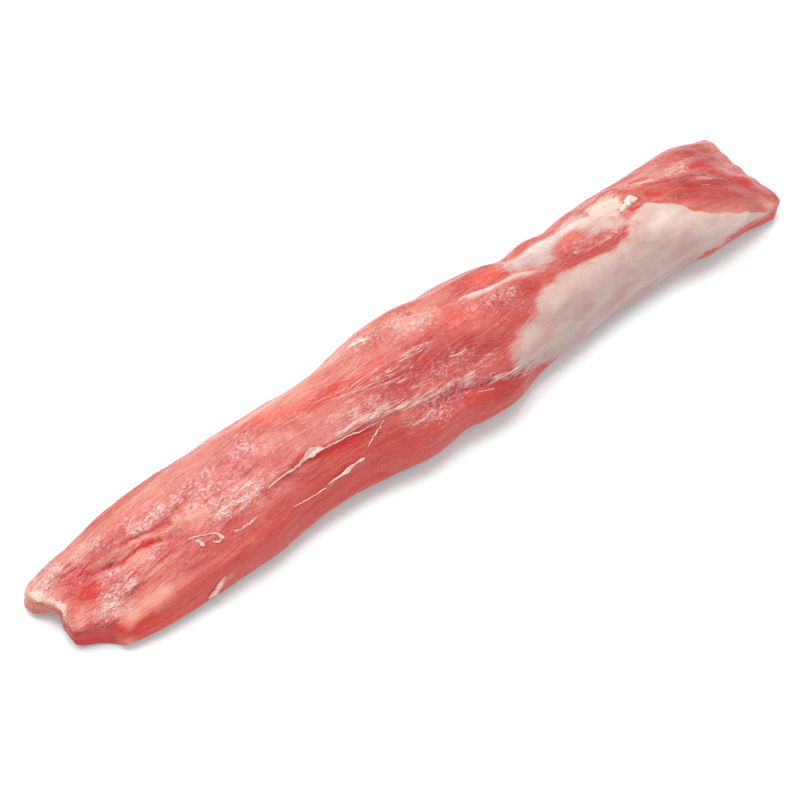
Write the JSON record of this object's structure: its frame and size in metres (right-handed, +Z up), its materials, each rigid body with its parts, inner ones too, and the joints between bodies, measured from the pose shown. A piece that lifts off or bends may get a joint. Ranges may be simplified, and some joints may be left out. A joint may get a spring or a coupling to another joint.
{
  "type": "raw pork tenderloin",
  "caption": "Whole raw pork tenderloin: a long, tapering boneless muscle with a thin dished tail, a ridged back and silverskin over the thick end.",
  "frame": {"origin": "middle of the box on the flat underside that it rests on", "axes": "+X along the muscle from the thin tail to the thick head, +Y to the far side, which has the high round shoulder, +Z up"},
  "size_m": [0.3648, 0.0614, 0.0379],
  "materials": {
    "raw_pork": "wet, glossy raw muscle"
  },
  "bodies": {
    "root": {"pork_tenderloin": "raw_pork"}
  },
  "joints": []
}
